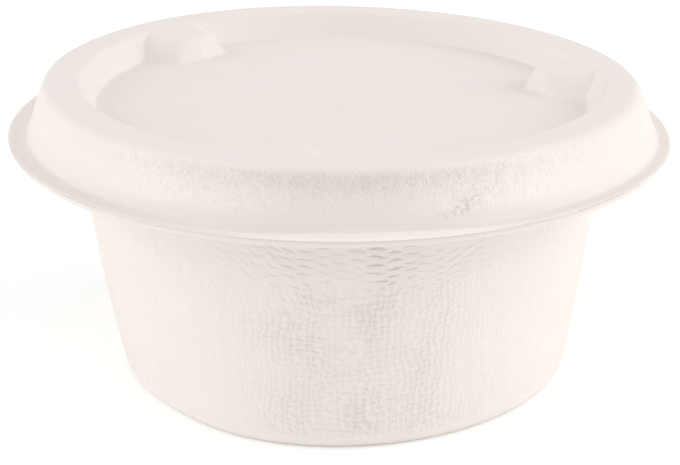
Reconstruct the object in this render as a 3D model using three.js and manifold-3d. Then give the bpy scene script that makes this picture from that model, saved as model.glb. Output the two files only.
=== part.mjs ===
// A lidded dressing cup of moulded sugar-cane pulp: a tapered portion cup with a flat rim flange,
// and its press-on lid with a raised ring, a sunk middle and three de-nesting lugs.
// Millimetres, +Z up. The origin is the middle of the flat base, and the front faces -Y.
// The pack is shut, so the cup is one solid up to just under the lid's sunk floor.

import * as THREE from "three";
import { ConvexGeometry } from "three/addons/geometries/ConvexGeometry.js";
import { mergeVertices } from "three/addons/utils/BufferGeometryUtils.js";
import Module from "manifold-3d";

// ---- driving dimensions -----------------------------------------------------------------

// Lid
const LID_RADIUS = 36.5;          // trimmed edge of the lid's flange
const PULP_THICKNESS = 0.85;      // pressed pulp board, also the height of the trimmed edge
const FLANGE_UNDERSIDE = 27.35;   // height of the lid flange's lower face
const RING_TOP = 33.35;           // height of the raised ring
const RECESS_DEPTH = 2.85;        // ring top down to the sunk floor
const RECESS_FOOT_RADIUS = 27.3;  // floor meets the recess wall
const RING_INNER_RADIUS = 28.85;  // recess wall meets the ring top
const RING_OUTER_RADIUS = 32.55;  // ring top meets the skirt
const SKIRT_FOOT_RADIUS = 34.75;  // skirt meets the flange

// De-nesting lugs, which reach in over the floor from the recess wall, nearly as high as the ring.
// Each has its direction from +X, anticlockwise, and how far each half of its blunt inner end
// turns back, in degrees.
const LUGS = [[136.5, 7], [12, 20], [257, 7]];
const LUG_SHOULDER_RADIUS = 23;   // foot of the corner where the end meets a side
const LUG_SHOULDER_HALF_WIDTH = 3.7;
const LUG_FLARE = 0.6;            // spread of each side's foot for each unit towards the wall
const LUG_EASING = 0.3;           // and how much less its top spreads
const LUG_DROP = 0.45;            // the top slopes down from the ring by this much
const LUG_NOSE_RUN = 0.9;         // plan width of the steep end
const LUG_SIDE_RUN = 1.7;         // and of the sides
const LUG_ROOT = 0.45;            // how far a lug runs into the recess wall

// Cup
const BASE_RADIUS = 25.4;         // wall line carried down to the base plane
const BASE_CORNER = 1.3;          // rounding between base and wall
const FOOT_RING_RADIUS = 20.4;    // inside this the base is pushed up
const BASE_PUSH_UP = 0.5;
const BASE_PINCH = 0.85;          // the base edge dried inwards by this much on its left front side
const BASE_PINCH_DIRECTION = 218; // degrees from +X, anticlockwise
const BASE_PINCH_SPREAD = 22;     // degrees
const BASE_PINCH_HEIGHT = 9;      // the pinch fades out up the wall
const WALL_TOP_RADIUS = 29.1;     // wall meets the flange
const WALL_BOW = 0.2;             // outward bow of the wall at half its height
const CUP_FLANGE_RADIUS = 36.05;
const CUP_FLANGE_THICKNESS = 0.5; // thinner than the board: the cup's rim is pressed hard

const PLUG_RADIUS = 29;           // hidden top of the solid, under the lid's sunk floor
const PLUG_TOP = 29.3;

// How the two sit together
const GAP = 0.3;                  // free space between cup and lid
const RIM_SLOPE = -0.034;         // rim and lid sit a little higher at -X than at +X
const RIM_TWIST = -0.21;          // saddle warp of the rim at LID_RADIUS
const CROWN_SHIFT = 0.35;         // the lid's moulded form lies off the middle of its trimmed edge

// Fineness
const LID_SEGMENTS = 80;
const CUP_SEGMENTS = 64;
const ARC_STEP = 32;              // degrees of turn for one chord of a rounded corner
const WALL_STEPS = 6;
const LUG_ARC_STEPS = 4;

// ---- derived sizes ------------------------------------------------------------------------

const FLANGE_TOP = FLANGE_UNDERSIDE + PULP_THICKNESS;
const FLOOR_TOP = RING_TOP - RECESS_DEPTH;
const CUP_FLANGE_TOP = FLANGE_UNDERSIDE - GAP;
const CUP_FLANGE_UNDERSIDE = CUP_FLANGE_TOP - CUP_FLANGE_THICKNESS;
const RECESS_LEAN = (RING_INNER_RADIUS - RECESS_FOOT_RADIUS) / RECESS_DEPTH;
const SKIRT_LEAN = (SKIRT_FOOT_RADIUS - RING_OUTER_RADIUS) / (RING_TOP - FLANGE_TOP);

// ---- profiles ---------------------------------------------------------------------------

// Turns corners [radius, height, rounding] into lathe points, with an arc at each rounded one.
function roundedProfile(corners) {
  const points = [];
  corners.forEach(([r, z, rounding = 0], i) => {
    const corner = new THREE.Vector2(r, z);
    if (!rounding) {
      points.push(corner);
      return;
    }
    const incoming = corner.clone().sub(new THREE.Vector2(...corners[i - 1])).normalize();
    const outgoing = new THREE.Vector2(...corners[i + 1]).sub(corner).normalize();
    const turn = Math.atan2(incoming.cross(outgoing), incoming.dot(outgoing));
    const start = corner.clone().addScaledVector(incoming, -rounding * Math.tan(Math.abs(turn) / 2));
    const side = new THREE.Vector2(-incoming.y, incoming.x).multiplyScalar(Math.sign(turn));
    const centre = start.clone().addScaledVector(side, rounding);
    const chords = Math.max(2, Math.ceil(Math.abs(turn) / THREE.MathUtils.degToRad(ARC_STEP)));
    for (let step = 0; step <= chords; step += 1) {
      points.push(start.clone().rotateAround(centre, (turn * step) / chords));
    }
  });
  return points;
}

// How far a corner moves sideways when a sheet of the given thickness turns there from level
// to a slope that leans by `lean` for each unit of height.
function cornerShift(lean, thickness) {
  return thickness * (Math.hypot(1, lean) - lean);
}

// The lid's outline runs along its underside first, then back over the top.
function lidProfile() {
  const recessShift = cornerShift(RECESS_LEAN, PULP_THICKNESS);
  const skirtShift = cornerShift(SKIRT_LEAN, PULP_THICKNESS);
  return roundedProfile([
    [0, FLOOR_TOP - PULP_THICKNESS],
    [RECESS_FOOT_RADIUS + recessShift, FLOOR_TOP - PULP_THICKNESS],
    [RING_INNER_RADIUS + recessShift, RING_TOP - PULP_THICKNESS],
    [RING_OUTER_RADIUS - skirtShift, RING_TOP - PULP_THICKNESS, 0.5],
    [SKIRT_FOOT_RADIUS - skirtShift, FLANGE_UNDERSIDE],
    [LID_RADIUS, FLANGE_UNDERSIDE, 0.2],
    [LID_RADIUS, FLANGE_TOP, 0.2],
    [SKIRT_FOOT_RADIUS, FLANGE_TOP, 0.45],
    [RING_OUTER_RADIUS, RING_TOP, 1.3],
    [RING_INNER_RADIUS, RING_TOP, 0.7],
    [RECESS_FOOT_RADIUS, FLOOR_TOP, 0.4],
    [0, FLOOR_TOP],
  ]);
}

function cupProfile() {
  const wall = [];
  for (let step = 1; step < WALL_STEPS; step += 1) {
    const t = step / WALL_STEPS;
    const bow = WALL_BOW * 4 * t * (1 - t);
    wall.push([
      THREE.MathUtils.lerp(BASE_RADIUS, WALL_TOP_RADIUS, t) + bow,
      CUP_FLANGE_UNDERSIDE * t,
    ]);
  }
  return roundedProfile([
    [0, BASE_PUSH_UP],
    [FOOT_RING_RADIUS - 2 * BASE_PUSH_UP, BASE_PUSH_UP],
    [FOOT_RING_RADIUS, 0],
    [BASE_RADIUS, 0, BASE_CORNER],
    ...wall,
    [WALL_TOP_RADIUS, CUP_FLANGE_UNDERSIDE, 0.6],
    [CUP_FLANGE_RADIUS, CUP_FLANGE_UNDERSIDE, 0.15],
    [CUP_FLANGE_RADIUS, CUP_FLANGE_TOP, 0.15],
    [PLUG_RADIUS, CUP_FLANGE_TOP],
    [PLUG_RADIUS, PLUG_TOP],
    [0, PLUG_TOP],
  ]);
}

// ---- solids -------------------------------------------------------------------------------

// Leaves only positions, shared between faces, which is what a boolean and a closed body need.
function welded(geometry) {
  geometry.deleteAttribute("normal");
  geometry.deleteAttribute("uv");
  return mergeVertices(geometry, 1e-4);
}

function turned(profile, segments) {
  return welded(new THREE.LatheGeometry(profile, segments).rotateX(Math.PI / 2));
}

// Plan outline of a lug pointing along +X, at a share of its height, with its end and sides set in
// by `inset` times their run. It has a blunt point, two shoulders, and an outer side that follows
// the recess wall.
function lugOutline(slant, share, inset) {
  const outer = RECESS_FOOT_RADIUS + RECESS_LEAN * share * RECESS_DEPTH + LUG_ROOT;
  const flare = LUG_FLARE - LUG_EASING * inset;
  const halfWidth = LUG_SHOULDER_HALF_WIDTH - LUG_SIDE_RUN * inset;
  const atAxis = halfWidth - flare * LUG_SHOULDER_RADIUS;
  const spread = Math.atan(flare) + Math.asin(atAxis / Math.hypot(1, flare) / outer);
  const footNose = LUG_SHOULDER_RADIUS - LUG_SHOULDER_HALF_WIDTH * Math.tan(slant);
  const nose = footNose + (LUG_NOSE_RUN * inset) / Math.cos(slant);
  const shoulder = (nose + Math.tan(slant) * atAxis) / (1 - Math.tan(slant) * flare);
  const outline = [[nose, 0]];
  for (let step = 0; step <= LUG_ARC_STEPS; step += 1) {
    const angle = spread * ((2 * step) / LUG_ARC_STEPS - 1);
    outline.push([outer * Math.cos(angle), outer * Math.sin(angle)]);
  }
  for (const hand of [-1, 1]) {
    outline.push([shoulder, hand * (atAxis + flare * shoulder)]);
  }
  return outline;
}

// Height of a lug's top above the floor, which slopes down towards the nose.
function lugHeight(along) {
  const inward = (RING_INNER_RADIUS - along) / (RING_INNER_RADIUS - LUG_SHOULDER_RADIUS);
  return RECESS_DEPTH - LUG_DROP * THREE.MathUtils.clamp(inward, 0, 1);
}

// A lug is the hull of six outlines: one sunk in the floor, its foot, and four up its steep sides
// and over their rounded edge. Each is a share of its height and a share of the sides' run.
function lug([direction, slant]) {
  const layers = [[-0.15, 0], [0, 0], [0.55, 0.5], [0.81, 0.84], [0.95, 1.15], [1, 1.47]];
  const corners = layers.flatMap(([share, inset]) => (
    lugOutline(THREE.MathUtils.degToRad(slant), share, inset).map(([x, y]) => (
      new THREE.Vector3(x, y, FLOOR_TOP + share * lugHeight(x))
    ))
  ));
  const hull = new ConvexGeometry(corners);
  return welded(hull.rotateZ(THREE.MathUtils.degToRad(direction)));
}

const wasm = await Module();
wasm.setup();

function toManifold(geometry) {
  return new wasm.Manifold(new wasm.Mesh({
    numProp: 3,
    vertProperties: Float32Array.from(geometry.getAttribute("position").array),
    triVerts: Uint32Array.from(geometry.index.array),
  }));
}

function joined(body, additions) {
  let solid = toManifold(body);
  for (const addition of additions) {
    solid = solid.add(toManifold(addition));
  }
  const mesh = solid.getMesh();
  const geometry = new THREE.BufferGeometry();
  geometry.setAttribute("position", new THREE.BufferAttribute(mesh.vertProperties, 3));
  geometry.setIndex(new THREE.BufferAttribute(mesh.triVerts, 1));
  return geometry;
}

// ---- how the moulding came out: off its trimmed edge, and a little out of level -------------

// The crown lies off the middle of the trimmed edge, by a share that fades out over the flange.
function crownShift(point) {
  const fade = (LID_RADIUS - Math.hypot(point.x, point.y)) / (LID_RADIUS - SKIRT_FOOT_RADIUS);
  return CROWN_SHIFT * THREE.MathUtils.clamp(fade, 0, 1);
}

// How far the base edge is drawn in towards the axis. It fades out round the cup and up its wall.
function basePinch(point) {
  const radius = Math.hypot(point.x, point.y);
  const atEdge = THREE.MathUtils.clamp(
    (radius - FOOT_RING_RADIUS) / (BASE_RADIUS - FOOT_RING_RADIUS), 0, 1);
  const azimuth = THREE.MathUtils.radToDeg(Math.atan2(point.y, point.x));
  const away = THREE.MathUtils.euclideanModulo(azimuth - BASE_PINCH_DIRECTION + 180, 360) - 180;
  const low = 1 - THREE.MathUtils.smoothstep(point.z, 0, BASE_PINCH_HEIGHT);
  return BASE_PINCH * atEdge * low * Math.exp(-((away / BASE_PINCH_SPREAD) ** 2));
}

// Lift of the rim and all above it. It fades to nothing at the base, which stays flat.
function rimLift(point) {
  const share = THREE.MathUtils.smoothstep(point.z, 0, CUP_FLANGE_UNDERSIDE);
  const twist = (RIM_TWIST * 2 * point.x * point.y) / LID_RADIUS ** 2;
  return share * (RIM_SLOPE * point.x + twist);
}

function settled(geometry, isCrown) {
  const corners = geometry.getAttribute("position");
  const point = new THREE.Vector3();
  for (let i = 0; i < corners.count; i += 1) {
    point.fromBufferAttribute(corners, i);
    if (isCrown(point)) {
      point.x += crownShift(point);
    } else {
      const narrowed = 1 - basePinch(point) / Math.max(Math.hypot(point.x, point.y), 1);
      point.x *= narrowed;
      point.y *= narrowed;
    }
    point.z += rimLift(point);
    corners.setXYZ(i, point.x, point.y, point.z);
  }
  geometry.computeVertexNormals();
  return geometry;
}

// ---- the two pieces -----------------------------------------------------------------------

const part = new THREE.Group();

const cup = new THREE.Mesh(
  settled(turned(cupProfile(), CUP_SEGMENTS), (point) => (
    point.z > CUP_FLANGE_TOP + GAP / 2
  )),
  new THREE.MeshStandardMaterial({ color: 0xece4e0, roughness: 0.85, metalness: 0 }),
);
cup.name = "cup";
part.add(cup);

const lid = new THREE.Mesh(
  settled(joined(turned(lidProfile(), LID_SEGMENTS), LUGS.map(lug)), () => true),
  new THREE.MeshStandardMaterial({ color: 0xece4e1, roughness: 0.8, metalness: 0 }),
);
lid.name = "lid";
part.add(lid);

export default part;
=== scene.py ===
import math

import bpy
import numpy as np
from mathutils import Euler, Matrix, Vector


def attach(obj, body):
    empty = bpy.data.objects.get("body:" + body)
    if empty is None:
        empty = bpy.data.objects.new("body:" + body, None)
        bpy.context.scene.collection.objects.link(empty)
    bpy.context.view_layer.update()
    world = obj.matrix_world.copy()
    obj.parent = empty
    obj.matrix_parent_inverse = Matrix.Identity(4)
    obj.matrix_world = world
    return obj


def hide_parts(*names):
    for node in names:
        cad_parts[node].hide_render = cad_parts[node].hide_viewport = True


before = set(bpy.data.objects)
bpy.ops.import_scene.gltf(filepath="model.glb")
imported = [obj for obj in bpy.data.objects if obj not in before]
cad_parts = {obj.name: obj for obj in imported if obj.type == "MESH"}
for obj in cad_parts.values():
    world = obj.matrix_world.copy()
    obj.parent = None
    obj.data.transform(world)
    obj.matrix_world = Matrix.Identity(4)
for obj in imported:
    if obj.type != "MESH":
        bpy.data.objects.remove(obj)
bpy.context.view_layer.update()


# ---- The cup --------------------------------------------------------------------------------
# A tapered portion cup of sugar-cane pulp: fibre slurry sucked onto a woven-wire mould, then
# hot-pressed and trimmed. The wall keeps the print of the wire cloth that lined the mould, and
# the rim is pressed out into a thin flat flange. The shut pack is solid up to the lid.

MM = 0.001                       # one millimetre in the frame's metres

PULP_THICKNESS = 0.85
BASE_RADIUS = 25.4
BASE_CORNER = 1.3
FOOT_RING_RADIUS = 20.4
FOOT_RING_ROUNDING = 0.5
BASE_PUSH_UP = 0.5
BASE_PUSH_UP_ROUNDING = 0.6
BASE_PINCH = 0.85                # the base edge dried inwards by this much at its left front
BASE_PINCH_DIRECTION = math.radians(218)
BASE_PINCH_SPREAD = math.radians(22)
BASE_PINCH_HEIGHT = 9
WALL_TOP_RADIUS = 29.1
WALL_BOW = 0.2
WALL_TOP_ROUNDING = 0.6
CUP_FLANGE_RADIUS = 36.05
CUP_FLANGE_EDGE_ROUNDING = 0.18
CUP_FLANGE_UNDERSIDE = 26.6
CUP_FLANGE_TOP = 27.3
LID_RADIUS = 36.5
SKIRT_FOOT_RADIUS = 34.75
PLUG_RADIUS = 29.0               # the hidden top of the solid, under the lid's sunk middle
PLUG_TOP = 29.3

RIM_SLOPE = -0.034               # the rim dried a little higher at -X than at +X
RIM_TWIST = -0.21                # and a little saddle-shaped
CROWN_SHIFT = 0.35               # the lid's form lies off the middle of its trimmed edge

CUP_COLUMNS = 720                # 0.22 to 0.25 mm between columns on the wall
WALL_SPACING = 0.28              # between rows on the wall
ARC_SPACING = 0.16               # row spacing round a pressed corner

WIRE_PITCH = 0.7                 # wire cloth of about 36 wires to the inch
WEAVE_TURN = math.radians(3)     # one wire direction points this far off the front, seen from above
CLOTH_PULL = 0.16                # how far the cloth is pulled out of square,
CLOTH_PULL_WAVE = 4.5            # in waves of this length
WIRE_JITTER = 0.1                # how far single wires wander,
WIRE_JITTER_WAVE = 1.6           # in waves of this length
PRINT_START = (0.9, 2.2)         # the print fades in over these heights above the base corner
PRINT_END = (25.2, 26.3)         # and out over these, under the rim
PRINT_MEAN = 0.9                 # share of full depth that it has on average,
PRINT_PATCHINESS = 0.2           # give or take this much
PRINT_LIMITS = (0.3, 1.3)
PRINT_PATCH_WAVE = 7
DIAGONAL_SMOOTHING = 0.8         # share of the print that is lost where the cloth was pulled smooth
DIAGONAL_FADE = (0.05, 0.7)      # tangents of the turn away from a side, over which it is lost
KNUCKLE_RELIEF = 0.04            # coarse part of the print, which the mesh itself carries
GROOVE_RELIEF = 0.1              # fine part of the print, which the bump carries

RIM_DASHES = (17.5, 22)          # heights over which the cells turn into dashes near the rim
RIM_TILT = 0.12                  # there the cloth was pulled askew by this slope,
RIM_CROWDING = 0.5               # with its cross wires this much closer together,
DASH_STRETCH = 2.2               # of which only dashes printed, this much longer,
DASH_KNUCKLES = 1.8              # with this share of the usual coarse relief
DASH_GROOVES = 0.9               # and this share of the fine one

# Unevenness of the whole wall: relief, length of its waves, seed
WALL_UNEVENNESS = ((0.012, 2.2, 21), (0.03, 14, 22), (0.012, 1.0, 23))
UNEVENNESS_START = (0.2, 1.5)    # fades in over these heights, as the base was pressed flat


def rows_along(corners):
    """Rows (radius, height) down a profile. A corner is radius, height, rounding, spacing before it."""
    corners = [(np.array(corner[:2], float), *corner[2:]) for corner in corners]
    rows = []
    for i, (point, rounding, spacing) in enumerate(corners):
        arc = [point]
        if rounding:
            before = point - corners[i - 1][0]
            after = corners[i + 1][0] - point
            before /= np.hypot(*before)
            after /= np.hypot(*after)
            turn = math.atan2(before[0] * after[1] - before[1] * after[0], before @ after)
            start = point - before * rounding * math.tan(abs(turn) / 2)
            centre = start + np.array([-before[1], before[0]]) * math.copysign(rounding, turn)
            steps = max(3, math.ceil(rounding * abs(turn) / ARC_SPACING))
            arc = []
            for step in range(steps + 1):
                angle = turn * step / steps
                swing = np.array([[math.cos(angle), -math.sin(angle)],
                                  [math.sin(angle), math.cos(angle)]])
                arc.append(centre + swing @ (start - centre))
        if rows:
            last = rows[-1]
            run = arc[0] - last
            steps = max(1, math.ceil(np.hypot(*run) / spacing))
            rows += [last + run * step / steps for step in range(1, steps)]
        rows += arc
    return np.array(rows)


def turned_points(rows, columns):
    """The rows turned round the axis, and the outward direction at each point."""
    angle = np.arange(columns) * 2 * math.pi / columns
    slope = np.gradient(rows, axis=0)
    slope /= np.hypot(*slope.T)[:, None]
    radius, height = rows[:, :1], rows[:, 1:]
    points = np.stack([radius * np.cos(angle), radius * np.sin(angle),
                       height + 0 * angle], axis=-1)
    outward = np.stack([slope[:, 1:] * np.cos(angle), slope[:, 1:] * np.sin(angle),
                        -slope[:, :1] + 0 * angle], axis=-1)
    return points, outward


def closed_form(name, points, material):
    """A closed smooth mesh over rows of points. The first and last row shrink to one point each."""
    rows, columns = points.shape[:2]
    poles = points[[0, -1]].mean(axis=1)
    corners = np.concatenate([points[1:-1].reshape(-1, 3), poles]) * MM
    grid = np.arange((rows - 2) * columns).reshape(rows - 2, columns)
    right = np.roll(grid, -1, axis=1)
    sheet = np.stack([grid[:-1], right[:-1], right[1:], grid[1:]], axis=-1).reshape(-1, 4)
    first, last = grid.size, grid.size + 1
    bottom = [(first, b, a) for a, b in zip(grid[0].tolist(), right[0].tolist())]
    top = [(last, a, b) for a, b in zip(grid[-1].tolist(), right[-1].tolist())]
    mesh = bpy.data.meshes.new(name)
    mesh.from_pydata(corners.tolist(), [], sheet.tolist() + bottom + top)
    mesh.shade_smooth()
    mesh.materials.append(material)
    form = bpy.data.objects.new(name, mesh)
    bpy.context.scene.collection.objects.link(form)
    return form


def smooth_step(value, low, high):
    share = np.clip((value - low) / (high - low), 0, 1)
    return share * share * (3 - 2 * share)


def ripples(points, wavelength, seed):
    """Smooth uneven relief about 1 high, made of waves near one length in mixed directions."""
    wave_count = 48
    draw = np.random.default_rng(seed)
    total = 0
    for _ in range(wave_count):
        direction = draw.normal(size=points.shape[-1])
        direction /= np.linalg.norm(direction)
        turns = 2 * math.pi / (wavelength * draw.uniform(0.75, 1.5))
        total = total + np.cos(points @ (direction * turns) + draw.uniform(0, 2 * math.pi))
    return total / math.sqrt(wave_count / 2)


def pinched(points):
    """The base edge drawn in on one side. The pinch fades out round the cup and up its wall."""
    x, y, z = np.moveaxis(points, -1, 0)
    radius = np.hypot(x, y)
    away = (np.arctan2(y, x) - BASE_PINCH_DIRECTION + math.pi) % (2 * math.pi) - math.pi
    at_edge = np.clip((radius - FOOT_RING_RADIUS) / (BASE_RADIUS - FOOT_RING_RADIUS), 0, 1)
    drawn_in = at_edge * np.exp(-(away / BASE_PINCH_SPREAD) ** 2)
    drawn_in = BASE_PINCH * drawn_in * (1 - smooth_step(z, 0, BASE_PINCH_HEIGHT))
    narrowed = 1 - drawn_in / np.maximum(radius, 1)
    return np.stack([x * narrowed, y * narrowed, z], axis=-1)


def settled(points, lid_share):
    """Off its trimmed edge, by lid_share of the full shift, and out of level towards the rim."""
    x, y, z = np.moveaxis(points, -1, 0)
    fade = np.clip((LID_RADIUS - np.hypot(x, y)) / (LID_RADIUS - SKIRT_FOOT_RADIUS), 0, 1)
    x = x + CROWN_SHIFT * fade * lid_share
    lift = RIM_SLOPE * x + RIM_TWIST * 2 * x * y / LID_RADIUS ** 2
    z = z + smooth_step(z, 0, CUP_FLANGE_UNDERSIDE) * lift
    return np.stack([x, y, z], axis=-1)


def wire_print(points):
    """Where each wall point lay on the wire cloth, counted in wires, how deep it printed, and near_rim.

    Cloth drawn over a round former keeps straight down wires on four sides, and its cross wires
    rise in a curve from each of those sides to the diagonals, where the cloth is pulled smooth.
    """
    x, y, z = np.moveaxis(points, -1, 0)
    turned_x = x * math.cos(WEAVE_TURN) + y * math.sin(WEAVE_TURN)
    turned_y = y * math.cos(WEAVE_TURN) - x * math.sin(WEAVE_TURN)
    near, far = np.abs(turned_x), np.abs(turned_y)
    lean = np.minimum(near, far) / np.maximum(np.maximum(near, far), 1e-6)
    near_rim = smooth_step(z, *RIM_DASHES)
    hand = -np.sign(turned_x * turned_y) * np.sign(far - near)
    down_wire = BASE_RADIUS * lean
    cross_wire = z - BASE_RADIUS * lean ** 2 / 2
    above_middle = z - (RIM_DASHES[0] + RIM_DASHES[1]) / 2
    cross_wire += near_rim * (RIM_TILT * BASE_RADIUS * lean * hand + RIM_CROWDING * above_middle)
    for wire, seed in ((down_wire, 11), (cross_wire, 13)):
        wire += CLOTH_PULL * ripples(points, CLOTH_PULL_WAVE, seed)
        wire += WIRE_JITTER * ripples(points, WIRE_JITTER_WAVE, seed + 1)
    wires = np.stack([down_wire, cross_wire], axis=-1) / WIRE_PITCH
    patchy = np.clip(PRINT_MEAN + PRINT_PATCHINESS * ripples(points, PRINT_PATCH_WAVE, 66), *PRINT_LIMITS)
    pulled_smooth = 1 - DIAGONAL_SMOOTHING * smooth_step(lean, *DIAGONAL_FADE)
    on_wall = smooth_step(z, *PRINT_START) * (1 - smooth_step(z, *PRINT_END))
    return wires, patchy * pulled_smooth * on_wall, near_rim


cup_wall_bow = [
    (BASE_RADIUS + (WALL_TOP_RADIUS - BASE_RADIUS) * share + WALL_BOW * 4 * share * (1 - share),
     CUP_FLANGE_UNDERSIDE * share, 0, WALL_SPACING)
    for share in (1 / 6, 2 / 6, 3 / 6, 4 / 6, 5 / 6)
]
cup_rows = rows_along([
    (0, BASE_PUSH_UP, 0, 1),
    (FOOT_RING_RADIUS - 2 * BASE_PUSH_UP, BASE_PUSH_UP, BASE_PUSH_UP_ROUNDING, 6),
    (FOOT_RING_RADIUS, 0, FOOT_RING_ROUNDING, 1),
    (BASE_RADIUS, 0, BASE_CORNER, 2.5),
    *cup_wall_bow,
    (WALL_TOP_RADIUS, CUP_FLANGE_UNDERSIDE, WALL_TOP_ROUNDING, WALL_SPACING),
    (CUP_FLANGE_RADIUS, CUP_FLANGE_UNDERSIDE, CUP_FLANGE_EDGE_ROUNDING, 3),
    (CUP_FLANGE_RADIUS, CUP_FLANGE_TOP, CUP_FLANGE_EDGE_ROUNDING, 1),
    (PLUG_RADIUS, CUP_FLANGE_TOP, 0, 4),
    (PLUG_RADIUS, PLUG_TOP, 0, 3),
    (0, PLUG_TOP, 0, 30),
])
cup_points, cup_outward = turned_points(cup_rows, CUP_COLUMNS)
wires, print_depth, near_rim = wire_print(cup_points)
knuckles = (np.cos(math.pi * wires[..., 0]) * (1 - near_rim)
            + np.cos(math.pi * wires[..., 0] / DASH_STRETCH) * near_rim)
knuckles = knuckles * np.cos(math.pi * wires[..., 1])
cup_relief = -KNUCKLE_RELIEF * knuckles * print_depth * (1 + (DASH_KNUCKLES - 1) * near_rim)
on_outside = smooth_step(cup_points[..., 2], *UNEVENNESS_START) * (cup_rows[:, :1] < WALL_TOP_RADIUS)
for relief, wavelength, seed in WALL_UNEVENNESS:
    cup_relief += on_outside * relief * ripples(cup_points, wavelength, seed)
under_lid = cup_rows[:, 1:] > CUP_FLANGE_TOP + 0.01            # the hidden top follows the lid
cup_points = pinched(cup_points + cup_outward * cup_relief[..., None])
cup_points = settled(cup_points, lid_share=under_lid)


def linear(colour):
    """An sRGB hex colour as the linear RGBA that shaders take."""
    channels = [int(colour[i:i + 2], 16) / 255 for i in (1, 3, 5)]
    return (*(c / 12.92 if c <= 0.04045 else ((c + 0.055) / 1.055) ** 2.4 for c in channels), 1)


def add(tree, kind, inputs, **settings):
    """Adds a shader node. An input takes a value, a socket, or a node whose first output it uses."""
    node = tree.nodes.new(kind)
    for name, value in settings.items():
        setattr(node, name, value)
    for socket, value in inputs.items():
        if isinstance(value, bpy.types.Node):
            value = value.outputs[0]
        if isinstance(value, bpy.types.NodeSocket):
            tree.links.new(value, node.inputs[socket])
        else:
            node.inputs[socket].default_value = value
    return node


def new_material(name):
    material = bpy.data.materials.new(name)
    material.use_nodes = True
    material.node_tree.nodes.clear()
    return material, material.node_tree


FIBRES_PER_MM = 2.4              # cane fibres are 0.1 to 0.2 mm wide, drawn about twice as coarse
FIBRE_BENDS_PER_MM = 1.1         # so that they show, and bent about once a millimetre


def pulp_fibres(tree, where):
    """Felted cane fibre: short hair-thin strands that lie every way, as a height from 0 to 1."""
    wander = add(tree, "ShaderNodeTexNoise", {"Vector": where, "Scale": FIBRE_BENDS_PER_MM,
                                              "Detail": 1.0})
    bent = add(tree, "ShaderNodeVectorMath", {0: where, 1: wander.outputs["Color"]}, operation="ADD")
    strands = add(tree, "ShaderNodeTexNoise", {"Vector": bent, "Scale": FIBRES_PER_MM, "Detail": 3.0,
                                               "Roughness": 0.62, "Distortion": 0.9})
    return strands.outputs["Fac"]


# Moulded bagasse pulp, wire side: a warm white felt of cane fibre, matt, softly cell-printed,
# with painted shade in the grooves, a touch darker and yellower, for the shadow the bump can't cast.
WALL_FIBRE_RELIEF = 0.03
GROOVE_SHARPNESS = 1.6           # power that narrows the grooves to about a third of the pitch
OVER_WIRE = (-0.35, 0.8)         # a groove runs from where its wire dips under to where it lies over
GROOVE_SHADE_SHARE = 0.25               # share of painted shade in a groove
MOTTLE_PER_MM = 0.16             # cloudy patches of tone, about 6 mm across

cup_pulp, tree = new_material("moulded_bagasse_pulp_wire_side")
place = add(tree, "ShaderNodeTexCoord", {})
in_mm = add(tree, "ShaderNodeVectorMath", {0: place.outputs["Object"], "Scale": 1 / MM},
            operation="SCALE")
cloth = add(tree, "ShaderNodeAttribute", {}, attribute_name="wire_print")
cloth_parts = add(tree, "ShaderNodeSeparateXYZ", {0: cloth.outputs["Vector"]})
rim_share = add(tree, "ShaderNodeAttribute", {}, attribute_name="near_rim").outputs["Fac"]
waves = []
for axis, stretch in (("X", 1), ("Y", 1), ("X", DASH_STRETCH)):
    half_turns = add(tree, "ShaderNodeMath", {0: cloth_parts.outputs[axis], 1: math.pi / stretch},
                     operation="MULTIPLY")
    waves.append(add(tree, "ShaderNodeMath", {0: half_turns}, operation="COSINE"))
along_wave = add(tree, "ShaderNodeMix", {0: rim_share, 2: waves[0], 3: waves[2]})
over_under = add(tree, "ShaderNodeMath", {0: along_wave, 1: waves[1]}, operation="MULTIPLY")
grooves = []
for wave, side in ((waves[1], 1.0), (waves[0], -1.0)):
    near_wire = add(tree, "ShaderNodeMath", {0: wave, 1: wave}, operation="MULTIPLY")
    thin = add(tree, "ShaderNodeMath", {0: near_wire, 1: GROOVE_SHARPNESS}, operation="POWER")
    lies_over = add(tree, "ShaderNodeMapRange", {
        "Value": over_under, "From Min": OVER_WIRE[0] * side, "From Max": OVER_WIRE[1] * side,
        "To Min": 0.0, "To Max": 1.0})
    grooves.append(add(tree, "ShaderNodeMath", {0: thin, 1: lies_over.outputs["Result"]},
                       operation="MULTIPLY"))
off_rim = add(tree, "ShaderNodeMath", {0: 1.0, 1: rim_share}, operation="SUBTRACT")
upright_groove = add(tree, "ShaderNodeMath", {0: grooves[1], 1: off_rim}, operation="MULTIPLY")
groove = add(tree, "ShaderNodeMath", {0: grooves[0], 1: upright_groove}, operation="MAXIMUM")
printed = add(tree, "ShaderNodeMath", {0: groove, 1: cloth_parts.outputs["Z"]}, operation="MULTIPLY")
fibres = pulp_fibres(tree, in_mm)
raised = add(tree, "ShaderNodeMath", {0: printed, 1: -GROOVE_RELIEF * MM, 2: 0.0},
             operation="MULTIPLY_ADD")
surface = add(tree, "ShaderNodeMath", {0: fibres, 1: WALL_FIBRE_RELIEF * MM, 2: raised},
              operation="MULTIPLY_ADD")
cup_bump = add(tree, "ShaderNodeBump", {"Height": surface, "Strength": 1.0, "Distance": 1.0})
mottle = add(tree, "ShaderNodeTexNoise", {"Vector": in_mm, "Scale": MOTTLE_PER_MM, "Detail": 3.0})
tone = add(tree, "ShaderNodeMix", {"Factor": mottle.outputs["Fac"], 6: linear("#EBE5E1"),
                                   7: linear("#EBE4DC")}, data_type="RGBA")
# Painted shade: the grooves a touch darker and yellower, standing in for their own shadow
groove_shade = add(tree, "ShaderNodeMath", {0: printed, 1: GROOVE_SHADE_SHARE}, operation="MULTIPLY")
cup_colour = add(tree, "ShaderNodeMix", {"Factor": groove_shade, 6: tone.outputs[2],
                                         7: linear("#DDD2C8")}, data_type="RGBA")
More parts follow.
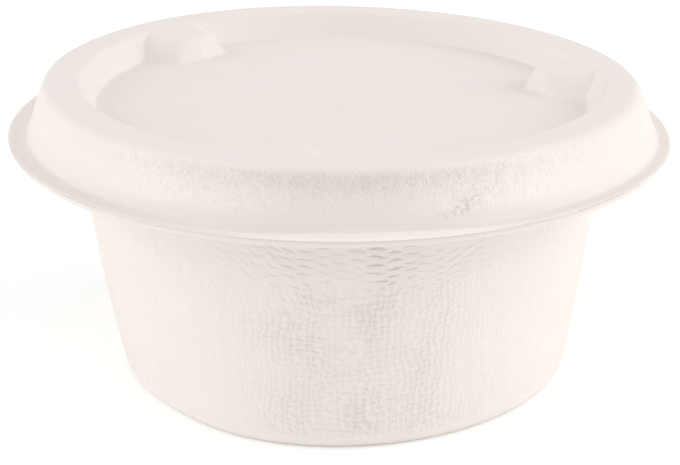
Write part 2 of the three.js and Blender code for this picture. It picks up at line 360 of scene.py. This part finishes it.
cup_shader = add(tree, "ShaderNodeBsdfPrincipled", {
    "Base Color": cup_colour.outputs[2], "Roughness": 0.82, "IOR": 1.47,
    "Specular IOR Level": 0.35, "Normal": cup_bump})
add(tree, "ShaderNodeOutputMaterial", {"Surface": cup_shader})

cup = closed_form("pulp_cup", cup_points, cup_pulp)
wire_attribute = cup.data.attributes.new("wire_print", "FLOAT_VECTOR", "POINT")
groove_depth = print_depth * (1 + (DASH_GROOVES - 1) * near_rim)
stored = np.concatenate([wires, groove_depth[..., None]], axis=-1)
stored = np.concatenate([stored[1:-1].reshape(-1, 3), np.zeros((2, 3))])
wire_attribute.data.foreach_set("vector", stored.astype(np.float32).ravel())
rim_attribute = cup.data.attributes.new("near_rim", "FLOAT", "POINT")
stored = np.concatenate([near_rim[1:-1].ravel(), np.zeros(2)])
rim_attribute.data.foreach_set("value", stored.astype(np.float32))
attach(cup, "root")
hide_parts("cup")


# ---- The lid --------------------------------------------------------------------------------
# A press-on lid of the same board: a flat trimmed flange, a steep skirt, a raised ring that grips
# the cup, a sunk middle, and three lugs pressed up out of it that keep nested lids apart.
# It is smooth on the ring and the middle, and rough where the skirt was drawn.

LID_FLANGE_UNDERSIDE = 27.35
LID_FLANGE_TOP = LID_FLANGE_UNDERSIDE + PULP_THICKNESS
LID_FLANGE_LOWER_ROUNDING = 0.2
LID_FLANGE_UPPER_ROUNDING = 0.32
SKIRT_FOOT_ROUNDING = 0.45
RING_TOP = 33.35
RING_INNER_RADIUS = 28.85
RING_INNER_ROUNDING = 0.7
RING_OUTER_RADIUS = 32.55
RING_UNDERSIDE_ROUNDING = 0.5
SHOULDER_ROUNDING = 1.3
SHOULDER_WIDTH = 1.0             # how far the shoulder reaches in from the ring's outer radius
RECESS_DEPTH = 2.85
RECESS_FOOT_RADIUS = 27.3
RECESS_FOOT_ROUNDING = 0.4
FLOOR_TOP = RING_TOP - RECESS_DEPTH

FLANGE_THINNING = 0.55           # towards the sides the flange is pressed thinner by this much,
THICKEST_SIDE = 0.07             # a little right of the front it keeps its thickness,
THINNING_FADE = (0.05, 0.5)      # and thins over these distances from there, as shares of the radius
THINNING_HEIGHT = 3              # the skirt above takes up the step over this height

# Each lug's direction from +X, anticlockwise, and how far each half of its end turns back, in degrees
LUGS = ((136.5, 7), (12, 20), (257, 7))
LUG_SHOULDER_RADIUS = 23.0                # where the end meets the sides
LUG_SHOULDER_HALF_WIDTH = 3.7
LUG_FLARE = 0.6                           # spread of each side's foot towards the wall
LUG_EASING = 0.3                          # and how much less its top spreads
LUG_DROP = 0.45                           # the top slopes down from the ring by this much
LUG_NOSE_RUN = 0.9                        # plan width of the steep end
LUG_SIDE_RUN = 1.7                        # and of the sides
LUG_CORNER_ROUNDING = 0.5                 # share of the height, between the end and a side
LUG_EDGE_ROUNDING = 1.8                   # over the top edge, as pressed pulp is never sharp
LUG_BLEND = 8                             # power that joins lugs to the ring: a higher one is sharper
LUG_REACH = 0.6                           # how far past the recess wall a lug may alter the ring
LEAST_DEPTH = 1e-4                        # keeps those powers finite on the ring top

LID_COLUMNS = 720
SKIRT_SPACING = 0.27
FORMED_SPACING = 0.18                     # rows where the lugs stand,
FORMED_WIDTH = 2.4                        # which start this far inside the lugs' ends


def smooth_max(a, b, rounding):
    near = np.clip(rounding - np.abs(a - b), 0, None) / rounding
    return np.maximum(a, b) + near * near * rounding / 4


def lug_depth(points, direction, slant):
    """How far below the ring top a lug's surface lies, continued over the whole lid."""
    turn, slant = math.radians(direction), math.radians(slant)
    along = points[..., 0] * math.cos(turn) + points[..., 1] * math.sin(turn)
    across = np.abs(points[..., 1] * math.cos(turn) - points[..., 0] * math.sin(turn))
    beyond = along - LUG_SHOULDER_RADIUS
    past_end = (across - LUG_SHOULDER_HALF_WIDTH) * math.sin(slant) - beyond * math.cos(slant)
    past_side = across - LUG_SHOULDER_HALF_WIDTH - LUG_FLARE * beyond
    side_run = LUG_SIDE_RUN + LUG_EASING * np.clip(beyond, 0, None)
    past_foot = smooth_max(past_end / LUG_NOSE_RUN, past_side / side_run, LUG_CORNER_ROUNDING)
    inward = (RING_INNER_RADIUS - along) / (RING_INNER_RADIUS - LUG_SHOULDER_RADIUS)
    top = LUG_DROP * np.clip(inward, 0, 1)
    return smooth_max(RECESS_DEPTH * (1 + past_foot), top, LUG_EDGE_ROUNDING)


def press_lugs(points, from_top):
    """Raises the sunk middle into lugs. from_top is 1 on the upper face and 0 on the lower one."""
    z = points[..., 2]
    depth = np.clip(RING_TOP - z, LEAST_DEPTH, None)
    for direction, slant in LUGS:
        other = np.clip(lug_depth(points, direction, slant), LEAST_DEPTH, None)
        depth = (depth ** -LUG_BLEND + other ** -LUG_BLEND) ** (-1 / LUG_BLEND)
    pressed = np.minimum(RING_TOP - depth, RING_TOP)
    inside = from_top * (np.hypot(points[..., 0], points[..., 1]) < RING_INNER_RADIUS + LUG_REACH)
    return np.where(inside > 0, pressed, z)


def turned_shift(lean, thickness):
    """Sideways move of a corner where board of this thickness turns from level to a slope."""
    return thickness * (math.hypot(1, lean) - lean)


recess_shift = turned_shift((RING_INNER_RADIUS - RECESS_FOOT_RADIUS) / RECESS_DEPTH, PULP_THICKNESS)
skirt_shift = turned_shift((SKIRT_FOOT_RADIUS - RING_OUTER_RADIUS) / (RING_TOP - LID_FLANGE_TOP),
                           PULP_THICKNESS)
lid_underside = [
    (0, FLOOR_TOP - PULP_THICKNESS, 0, 1),
    (RECESS_FOOT_RADIUS + recess_shift, FLOOR_TOP - PULP_THICKNESS, 0, 30),
    (RING_INNER_RADIUS + recess_shift, RING_TOP - PULP_THICKNESS, 0, 4),
    (RING_OUTER_RADIUS - skirt_shift, RING_TOP - PULP_THICKNESS, RING_UNDERSIDE_ROUNDING, 4),
    (SKIRT_FOOT_RADIUS - skirt_shift, LID_FLANGE_UNDERSIDE, 0, 6),
]
lid_upside = [
    (LID_RADIUS, LID_FLANGE_UNDERSIDE, LID_FLANGE_LOWER_ROUNDING, 2),
    (LID_RADIUS, LID_FLANGE_TOP, LID_FLANGE_UPPER_ROUNDING, 0.2),
    (SKIRT_FOOT_RADIUS, LID_FLANGE_TOP, SKIRT_FOOT_ROUNDING, 0.3),
    (RING_OUTER_RADIUS, RING_TOP, SHOULDER_ROUNDING, SKIRT_SPACING),
    (RING_INNER_RADIUS, RING_TOP, RING_INNER_ROUNDING, 0.3),
    (RECESS_FOOT_RADIUS, FLOOR_TOP, RECESS_FOOT_ROUNDING, FORMED_SPACING),
    (LUG_SHOULDER_RADIUS - FORMED_WIDTH, FLOOR_TOP, 0, FORMED_SPACING),
    (0, FLOOR_TOP, 0, 1.6),
]
lid_rows = rows_along(lid_underside + lid_upside)
lid_points, lid_outward = turned_points(lid_rows, LID_COLUMNS)
on_top = np.arange(len(lid_rows))[:, None] > int(np.argmax(lid_rows[:, 0]))
lid_points[..., 2] = press_lugs(lid_points, on_top)

azimuth = np.arctan2(lid_points[..., 1], lid_points[..., 0])
facing_side = np.abs(np.cos(azimuth))            # 0 at the front and back, 1 at the left and right
lid_radius_here = np.hypot(lid_points[..., 0], lid_points[..., 1])
lid_height = lid_points[..., 2]
outside_ring = on_top * (lid_radius_here > RING_OUTER_RADIUS - SHOULDER_WIDTH)

# The grain that drawing raised on the skirt: strongest under the shoulder, and pressed flatter at
# the sides. Between front and side the tops of the grain get a painted highlight. Each name ending
# in FADE, START or END is the range over which something comes in or goes out.
GRAIN_START = (0.5, 1.4)                         # fades in over these heights above the flange
GRAIN_LOW_SHARE = 0.45                           # of full strength on the lower skirt,
GRAIN_RISE = (29.8, 32.3)                        # rising to full over these heights,
GRAIN_END = (0.05, 0.9)                          # and out between these depths below the ring top
GRAIN_SIDE_LOSS = 0.7                            # share lost at the sides,
GRAIN_SIDE_FADE = (0.35, 0.8)                    # over this range of facing_side
HIGHLIGHT_END = (0.05, 0.4)                           # the painted highlight goes on a little further up,
HIGHLIGHT_FADE_IN = (0.08, 0.4)                       # and come in and go out over these ranges
HIGHLIGHT_FADE_OUT = (0.5, 0.8)                       # of facing_side
GRAIN_SQUEEZE = 0.45                             # the grain is as much narrower than it is tall
FINE_GRAIN = (0.03, 0.8, 31)                     # relief, length of its waves, seed
COARSE_GRAIN = (0.02, 1.7, 32)
LID_UNEVENNESS = (0.02, 16, 33)

on_skirt = outside_ring * smooth_step(lid_height - LID_FLANGE_TOP, *GRAIN_START)
drawn = on_skirt * (GRAIN_LOW_SHARE + (1 - GRAIN_LOW_SHARE) * smooth_step(lid_height, *GRAIN_RISE))
drawn = drawn * smooth_step(RING_TOP - lid_height, *GRAIN_END)
drawn = drawn * (1 - GRAIN_SIDE_LOSS * smooth_step(facing_side, *GRAIN_SIDE_FADE))
# The band of painted highlight on the grain tops, between front and side
painted_highlight_band = on_skirt * smooth_step(RING_TOP - lid_height, *HIGHLIGHT_END)
painted_highlight_band = painted_highlight_band * smooth_step(facing_side, *HIGHLIGHT_FADE_IN)
painted_highlight_band = painted_highlight_band * (1 - smooth_step(facing_side, *HIGHLIGHT_FADE_OUT))
squeezed = lid_points * np.array([1, 1, GRAIN_SQUEEZE])
lid_relief = 0
for where, share, (relief, wavelength, seed) in ((squeezed, drawn, FINE_GRAIN),
                                                 (lid_points, drawn, COARSE_GRAIN),
                                                 (lid_points, on_top, LID_UNEVENNESS)):
    lid_relief = lid_relief + share * relief * ripples(where, wavelength, seed)

SKIRT_MIDDLE_RADIUS = 33.5                       # turns a mark's angle into millimetres along the skirt


def press_mark(azimuth_degrees, height, width, tall, depth):
    """A shallow dent in the skirt or flange, `depth` deep at its middle."""
    sideways = (azimuth - math.radians(azimuth_degrees) + math.pi) % (2 * math.pi) - math.pi
    reach = (sideways * SKIRT_MIDDLE_RADIUS / width) ** 2 + ((lid_height - height) / tall) ** 2
    return -depth * np.exp(-reach) * outside_ring


# Two small marks of handling: a dent in the skirt left of the front, and a nick in the trimmed edge
# at the far left, which stays on the flange's outer millimetre
NICK_START_RADIUS = 35.3
lid_relief += press_mark(-120, height=30.3, width=0.3, tall=0.6, depth=0.1)
nick = press_mark(-163, height=LID_FLANGE_TOP, width=0.35, tall=0.6, depth=0.2)
lid_relief += nick * (lid_radius_here > NICK_START_RADIUS)

# A grey smudge of spilt dressing on the skirt, right of the front: a slanting oval, 1 at its middle
SMUDGE_DIRECTION = math.radians(-70.5)
SMUDGE_RADIUS = 34
SMUDGE_HEIGHT = 29.6
SMUDGE_HALF_LENGTH = 2.4
SMUDGE_HALF_WIDTH = 0.8
SMUDGE_RISE = 0.9                                # it climbs by this much over half its length
SMUDGE_START = (0.2, 0.6)                        # and fades in over these heights above the flange
smudge_side = (azimuth - SMUDGE_DIRECTION) * SMUDGE_RADIUS / SMUDGE_HALF_LENGTH
smudge_up = (lid_height - SMUDGE_HEIGHT - SMUDGE_RISE * smudge_side) / SMUDGE_HALF_WIDTH
smudge = np.exp(-smudge_side ** 2 - smudge_up ** 2) * outside_ring
smudge = smudge * smooth_step(lid_height - LID_FLANGE_TOP, *SMUDGE_START)

# At the front the fold of the flange gets painted shade, and the trimmed edge is a little lighter,
# as whiter cut fibre, most of all where it is thick, with painted shade towards its top
FOLD_RADII = (34.4, 34.9)
FOLD_END_RADII = (36.1, 36.4)
FOLD_HEIGHT = 0.25                               # the fold ends this far above the flange
FOLD_SIDE_FADE = (0.2, 0.4)
EDGE_RADII = (36.2, 36.45)
EDGE_THIN_LOSS = 0.5                             # share of its lightness lost where it is thin,
EDGE_TOP_SHADE = 0.6                              # and at its top, as painted shade
# Painted shade in the fold of the flange, at the front
painted_fold_shade = on_top * smooth_step(lid_radius_here, *FOLD_RADII) * (lid_height < LID_FLANGE_TOP + FOLD_HEIGHT)
painted_fold_shade = painted_fold_shade * (1 - smooth_step(lid_radius_here, *FOLD_END_RADII))
painted_fold_shade = painted_fold_shade * (1 - smooth_step(facing_side, *FOLD_SIDE_FADE))
thinned = smooth_step(np.abs(np.cos(azimuth) - THICKEST_SIDE), *THINNING_FADE)
up_edge = smooth_step(lid_height, LID_FLANGE_UNDERSIDE, LID_FLANGE_TOP)
# The trimmed edge lighter as whiter cut fibre, less so where thin, with painted shade towards its top
edge_white_and_painted_shade = smooth_step(lid_radius_here, *EDGE_RADII) * (1 - EDGE_THIN_LOSS * thinned)
edge_white_and_painted_shade = edge_white_and_painted_shade * (1 - EDGE_TOP_SHADE * up_edge)

lid_points = lid_points + lid_outward * lid_relief[..., None]
pressed_in = np.clip((lid_height - LID_FLANGE_UNDERSIDE) / PULP_THICKNESS, 0, 1)
pressed_in = pressed_in * (1 - smooth_step(lid_height - LID_FLANGE_TOP, 0, THINNING_HEIGHT))
lid_points[..., 2] -= FLANGE_THINNING * thinned * pressed_in * on_top
lid_points = settled(lid_points, lid_share=1)

# Moulded bagasse pulp, pressed side: the same warm white, ironed smooth and matt on the level
# faces, with raised fibre ends on the drawn skirt that break the light into a fine grain.
LEVEL_FIBRE_RELIEF = 0.012
GRAIN_PER_MM = 4.2               # fibre ends about 0.25 mm across
GRAIN_BUMP = 0.24                # their relief, which the bump carries
GRAIN_BUMP_SQUEEZE = 0.4
SPECKLE_PER_MM = 2.0             # specks of the smudge, about 0.5 mm across
FOLD_SHADE_SHARE = 0.5

lid_pulp, tree = new_material("moulded_bagasse_pulp_pressed_side")
place = add(tree, "ShaderNodeTexCoord", {})
in_mm = add(tree, "ShaderNodeVectorMath", {0: place.outputs["Object"], "Scale": 1 / MM},
            operation="SCALE")
grain_mask = add(tree, "ShaderNodeAttribute", {}, attribute_name="drawn_skirt")
fibres = pulp_fibres(tree, in_mm)
upright = add(tree, "ShaderNodeVectorMath", {0: in_mm, 1: (1.0, 1.0, GRAIN_BUMP_SQUEEZE)},
              operation="MULTIPLY")
grain = add(tree, "ShaderNodeTexNoise", {"Vector": upright, "Scale": GRAIN_PER_MM, "Detail": 3.0,
                                         "Roughness": 0.7})
grain_height = add(tree, "ShaderNodeMath", {0: grain.outputs["Fac"], 1: grain_mask.outputs["Fac"]},
                   operation="MULTIPLY")
smooth_part = add(tree, "ShaderNodeMath", {0: fibres, 1: LEVEL_FIBRE_RELIEF * MM},
                  operation="MULTIPLY")
surface = add(tree, "ShaderNodeMath", {0: grain_height, 1: GRAIN_BUMP * MM, 2: smooth_part},
              operation="MULTIPLY_ADD")
lid_bump = add(tree, "ShaderNodeBump", {"Height": surface, "Strength": 1.0, "Distance": 1.0})
mottle = add(tree, "ShaderNodeTexNoise", {"Vector": in_mm, "Scale": MOTTLE_PER_MM, "Detail": 3.0})
tone = add(tree, "ShaderNodeMix", {"Factor": mottle.outputs["Fac"], 6: linear("#ECE4E1"),
                                   7: linear("#EBE3DC")}, data_type="RGBA")

# How much of a tone there is, from the noise that draws it: pits between the fibre ends of the
# skirt get painted shade, the ends themselves a painted highlight, and the smudge lies in specks.
pit_shade = add(tree, "ShaderNodeMapRange", {"Value": grain.outputs["Fac"], "From Min": 0.36,
                                        "From Max": 0.56, "To Min": 0.5, "To Max": 0.0})
painted_highlight_share = add(tree, "ShaderNodeMapRange", {"Value": grain.outputs["Fac"], "From Min": 0.4,
                                        "From Max": 0.62, "To Min": 0.4, "To Max": 0.7})
speckle = add(tree, "ShaderNodeTexNoise", {"Vector": in_mm, "Scale": SPECKLE_PER_MM, "Detail": 2.0})
specks = add(tree, "ShaderNodeMapRange", {"Value": speckle.outputs["Fac"], "From Min": 0.44,
                                          "From Max": 0.58, "To Min": 0.0, "To Max": 0.56})
lid_colour = tone.outputs[2]
# The skirt's pits and the flange's fold get painted shade, the grain tops a painted highlight
for name, share, colour in (("drawn_skirt", pit_shade.outputs["Result"], "#D3C9C1"),
                            ("painted_highlight_band", painted_highlight_share.outputs["Result"], "#F8F1EB"),
                            ("painted_fold_shade", FOLD_SHADE_SHARE, "#DED5CF"),
                            ("edge_white_and_painted_shade", 1.0, "#F8EFE9"),
                            ("smudge", specks.outputs["Result"], "#C6BDB0")):
    mask = add(tree, "ShaderNodeAttribute", {}, attribute_name=name)
    amount = add(tree, "ShaderNodeMath", {0: mask.outputs["Fac"], 1: share}, operation="MULTIPLY")
    lid_colour = add(tree, "ShaderNodeMix", {"Factor": amount, 6: lid_colour,
                                             7: linear(colour)}, data_type="RGBA").outputs[2]
lid_shader = add(tree, "ShaderNodeBsdfPrincipled", {
    "Base Color": lid_colour, "Roughness": 0.72, "IOR": 1.47,
    "Specular IOR Level": 0.4, "Normal": lid_bump})
add(tree, "ShaderNodeOutputMaterial", {"Surface": lid_shader})

lid = closed_form("pulp_lid", lid_points, lid_pulp)
# Masks: grain, painted highlight, smudge, painted fold shade, and the edge's lightness with its painted
# shade
for name, values in (("drawn_skirt", drawn), ("painted_highlight_band", painted_highlight_band), ("smudge", smudge),
                     ("painted_fold_shade", painted_fold_shade), ("edge_white_and_painted_shade", edge_white_and_painted_shade)):
    attribute = lid.data.attributes.new(name, "FLOAT", "POINT")
    stored = np.concatenate([values[1:-1].ravel(), np.zeros(2)])
    attribute.data.foreach_set("value", stored.astype(np.float32))
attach(lid, "root")
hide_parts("lid")


# ---- The floor ------------------------------------------------------------------------------
# A plain white product table, faintly lit from below, so that shadows stay pale.

TABLE_HALF_WIDTH = 1.5
TABLE_GLOW = 0.14

# Opal acrylic sheet, cast and satin: a plain white with no visible grain or reflection.
table_top, tree = new_material("white_acrylic_table")
table_shader = add(tree, "ShaderNodeBsdfPrincipled", {
    "Base Color": linear("#F7F7F7"), "Roughness": 0.6, "Specular IOR Level": 0.2,
    "Emission Color": (1.0, 1.0, 1.0, 1.0), "Emission Strength": TABLE_GLOW})
add(tree, "ShaderNodeOutputMaterial", {"Surface": table_shader})
half = TABLE_HALF_WIDTH
floor_mesh = bpy.data.meshes.new("table")
floor_mesh.from_pydata([(-half, -half, 0), (half, -half, 0), (half, half, 0), (-half, half, 0)],
                       [], [(0, 1, 2, 3)])
floor_mesh.materials.append(table_top)
floor = bpy.data.objects.new("table", floor_mesh)
bpy.context.scene.collection.objects.link(floor)


# ---- The light ------------------------------------------------------------------------------
# A white tent, with a large soft box at each side, the right one a little stronger, so that the
# side walls glow and what faces the camera stays a shade darker.

TENT_STRENGTH = 0.59
CUP_MIDDLE = (0, 0, 0.02)

world = bpy.data.worlds.new("white_tent")
bpy.context.scene.world = world
world.use_nodes = True
world.node_tree.nodes["Background"].inputs["Color"].default_value = (1.0, 1.0, 1.0, 1.0)
world.node_tree.nodes["Background"].inputs["Strength"].default_value = TENT_STRENGTH


def soft_box(name, place, size, watts):
    """A rectangular soft light at `place` in metres, aimed at the middle of the cup."""
    light = bpy.data.lights.new(name, "AREA")
    light.shape = "RECTANGLE"
    light.size, light.size_y = size
    light.energy = watts
    box = bpy.data.objects.new(name, light)
    box.location = place
    aim = Vector(CUP_MIDDLE) - Vector(place)
    box.rotation_euler = aim.to_track_quat("-Z", "Y").to_euler()
    bpy.context.scene.collection.objects.link(box)


soft_box("left_box", (-0.55, -0.05, 0.25), (0.5, 0.4), 1.41)
soft_box("right_box", (0.55, -0.02, 0.25), (0.5, 0.4), 1.68)
soft_box("top_box", (0.0, 0.1, 0.75), (0.6, 0.5), 0.15)
soft_box("front_box", (0.0, -0.5, 0.55), (0.6, 0.4), 0.76)
soft_box("back_box", (0.0, 0.55, 0.4), (0.6, 0.4), 0.35)


# ---- The camera -----------------------------------------------------------------------------
# A portrait-length lens a little above the cup, at the place that fits the photograph's outlines.

CAMERA_PLACE = (0.0, -187.92, 85.94)      # millimetres
CAMERA_YAW = -0.0012                      # radians
CAMERA_PITCH = 0.3634
CAMERA_ROLL = -0.0235
FOCAL_PIXELS = 1754.4                     # focal length in pixels of a frame 680 wide
FRAME_WIDTH = 680
SENSOR_WIDTH = 36.0                       # millimetres

camera_data = bpy.data.cameras.new("camera")
camera_data.sensor_width = SENSOR_WIDTH
camera_data.lens = FOCAL_PIXELS / FRAME_WIDTH * SENSOR_WIDTH
camera_data.clip_start = 0.01
camera = bpy.data.objects.new("camera", camera_data)
aimed = Euler((math.pi / 2 - CAMERA_PITCH, 0, -CAMERA_YAW)).to_matrix()
turned = aimed @ Matrix.Rotation(CAMERA_ROLL, 3, "Z")
camera.matrix_world = Matrix.Translation([c * MM for c in CAMERA_PLACE]) @ turned.to_4x4()
bpy.context.scene.collection.objects.link(camera)
bpy.context.scene.camera = camera
bpy.context.scene.view_settings.view_transform = "Standard"
bpy.context.view_layer.update()
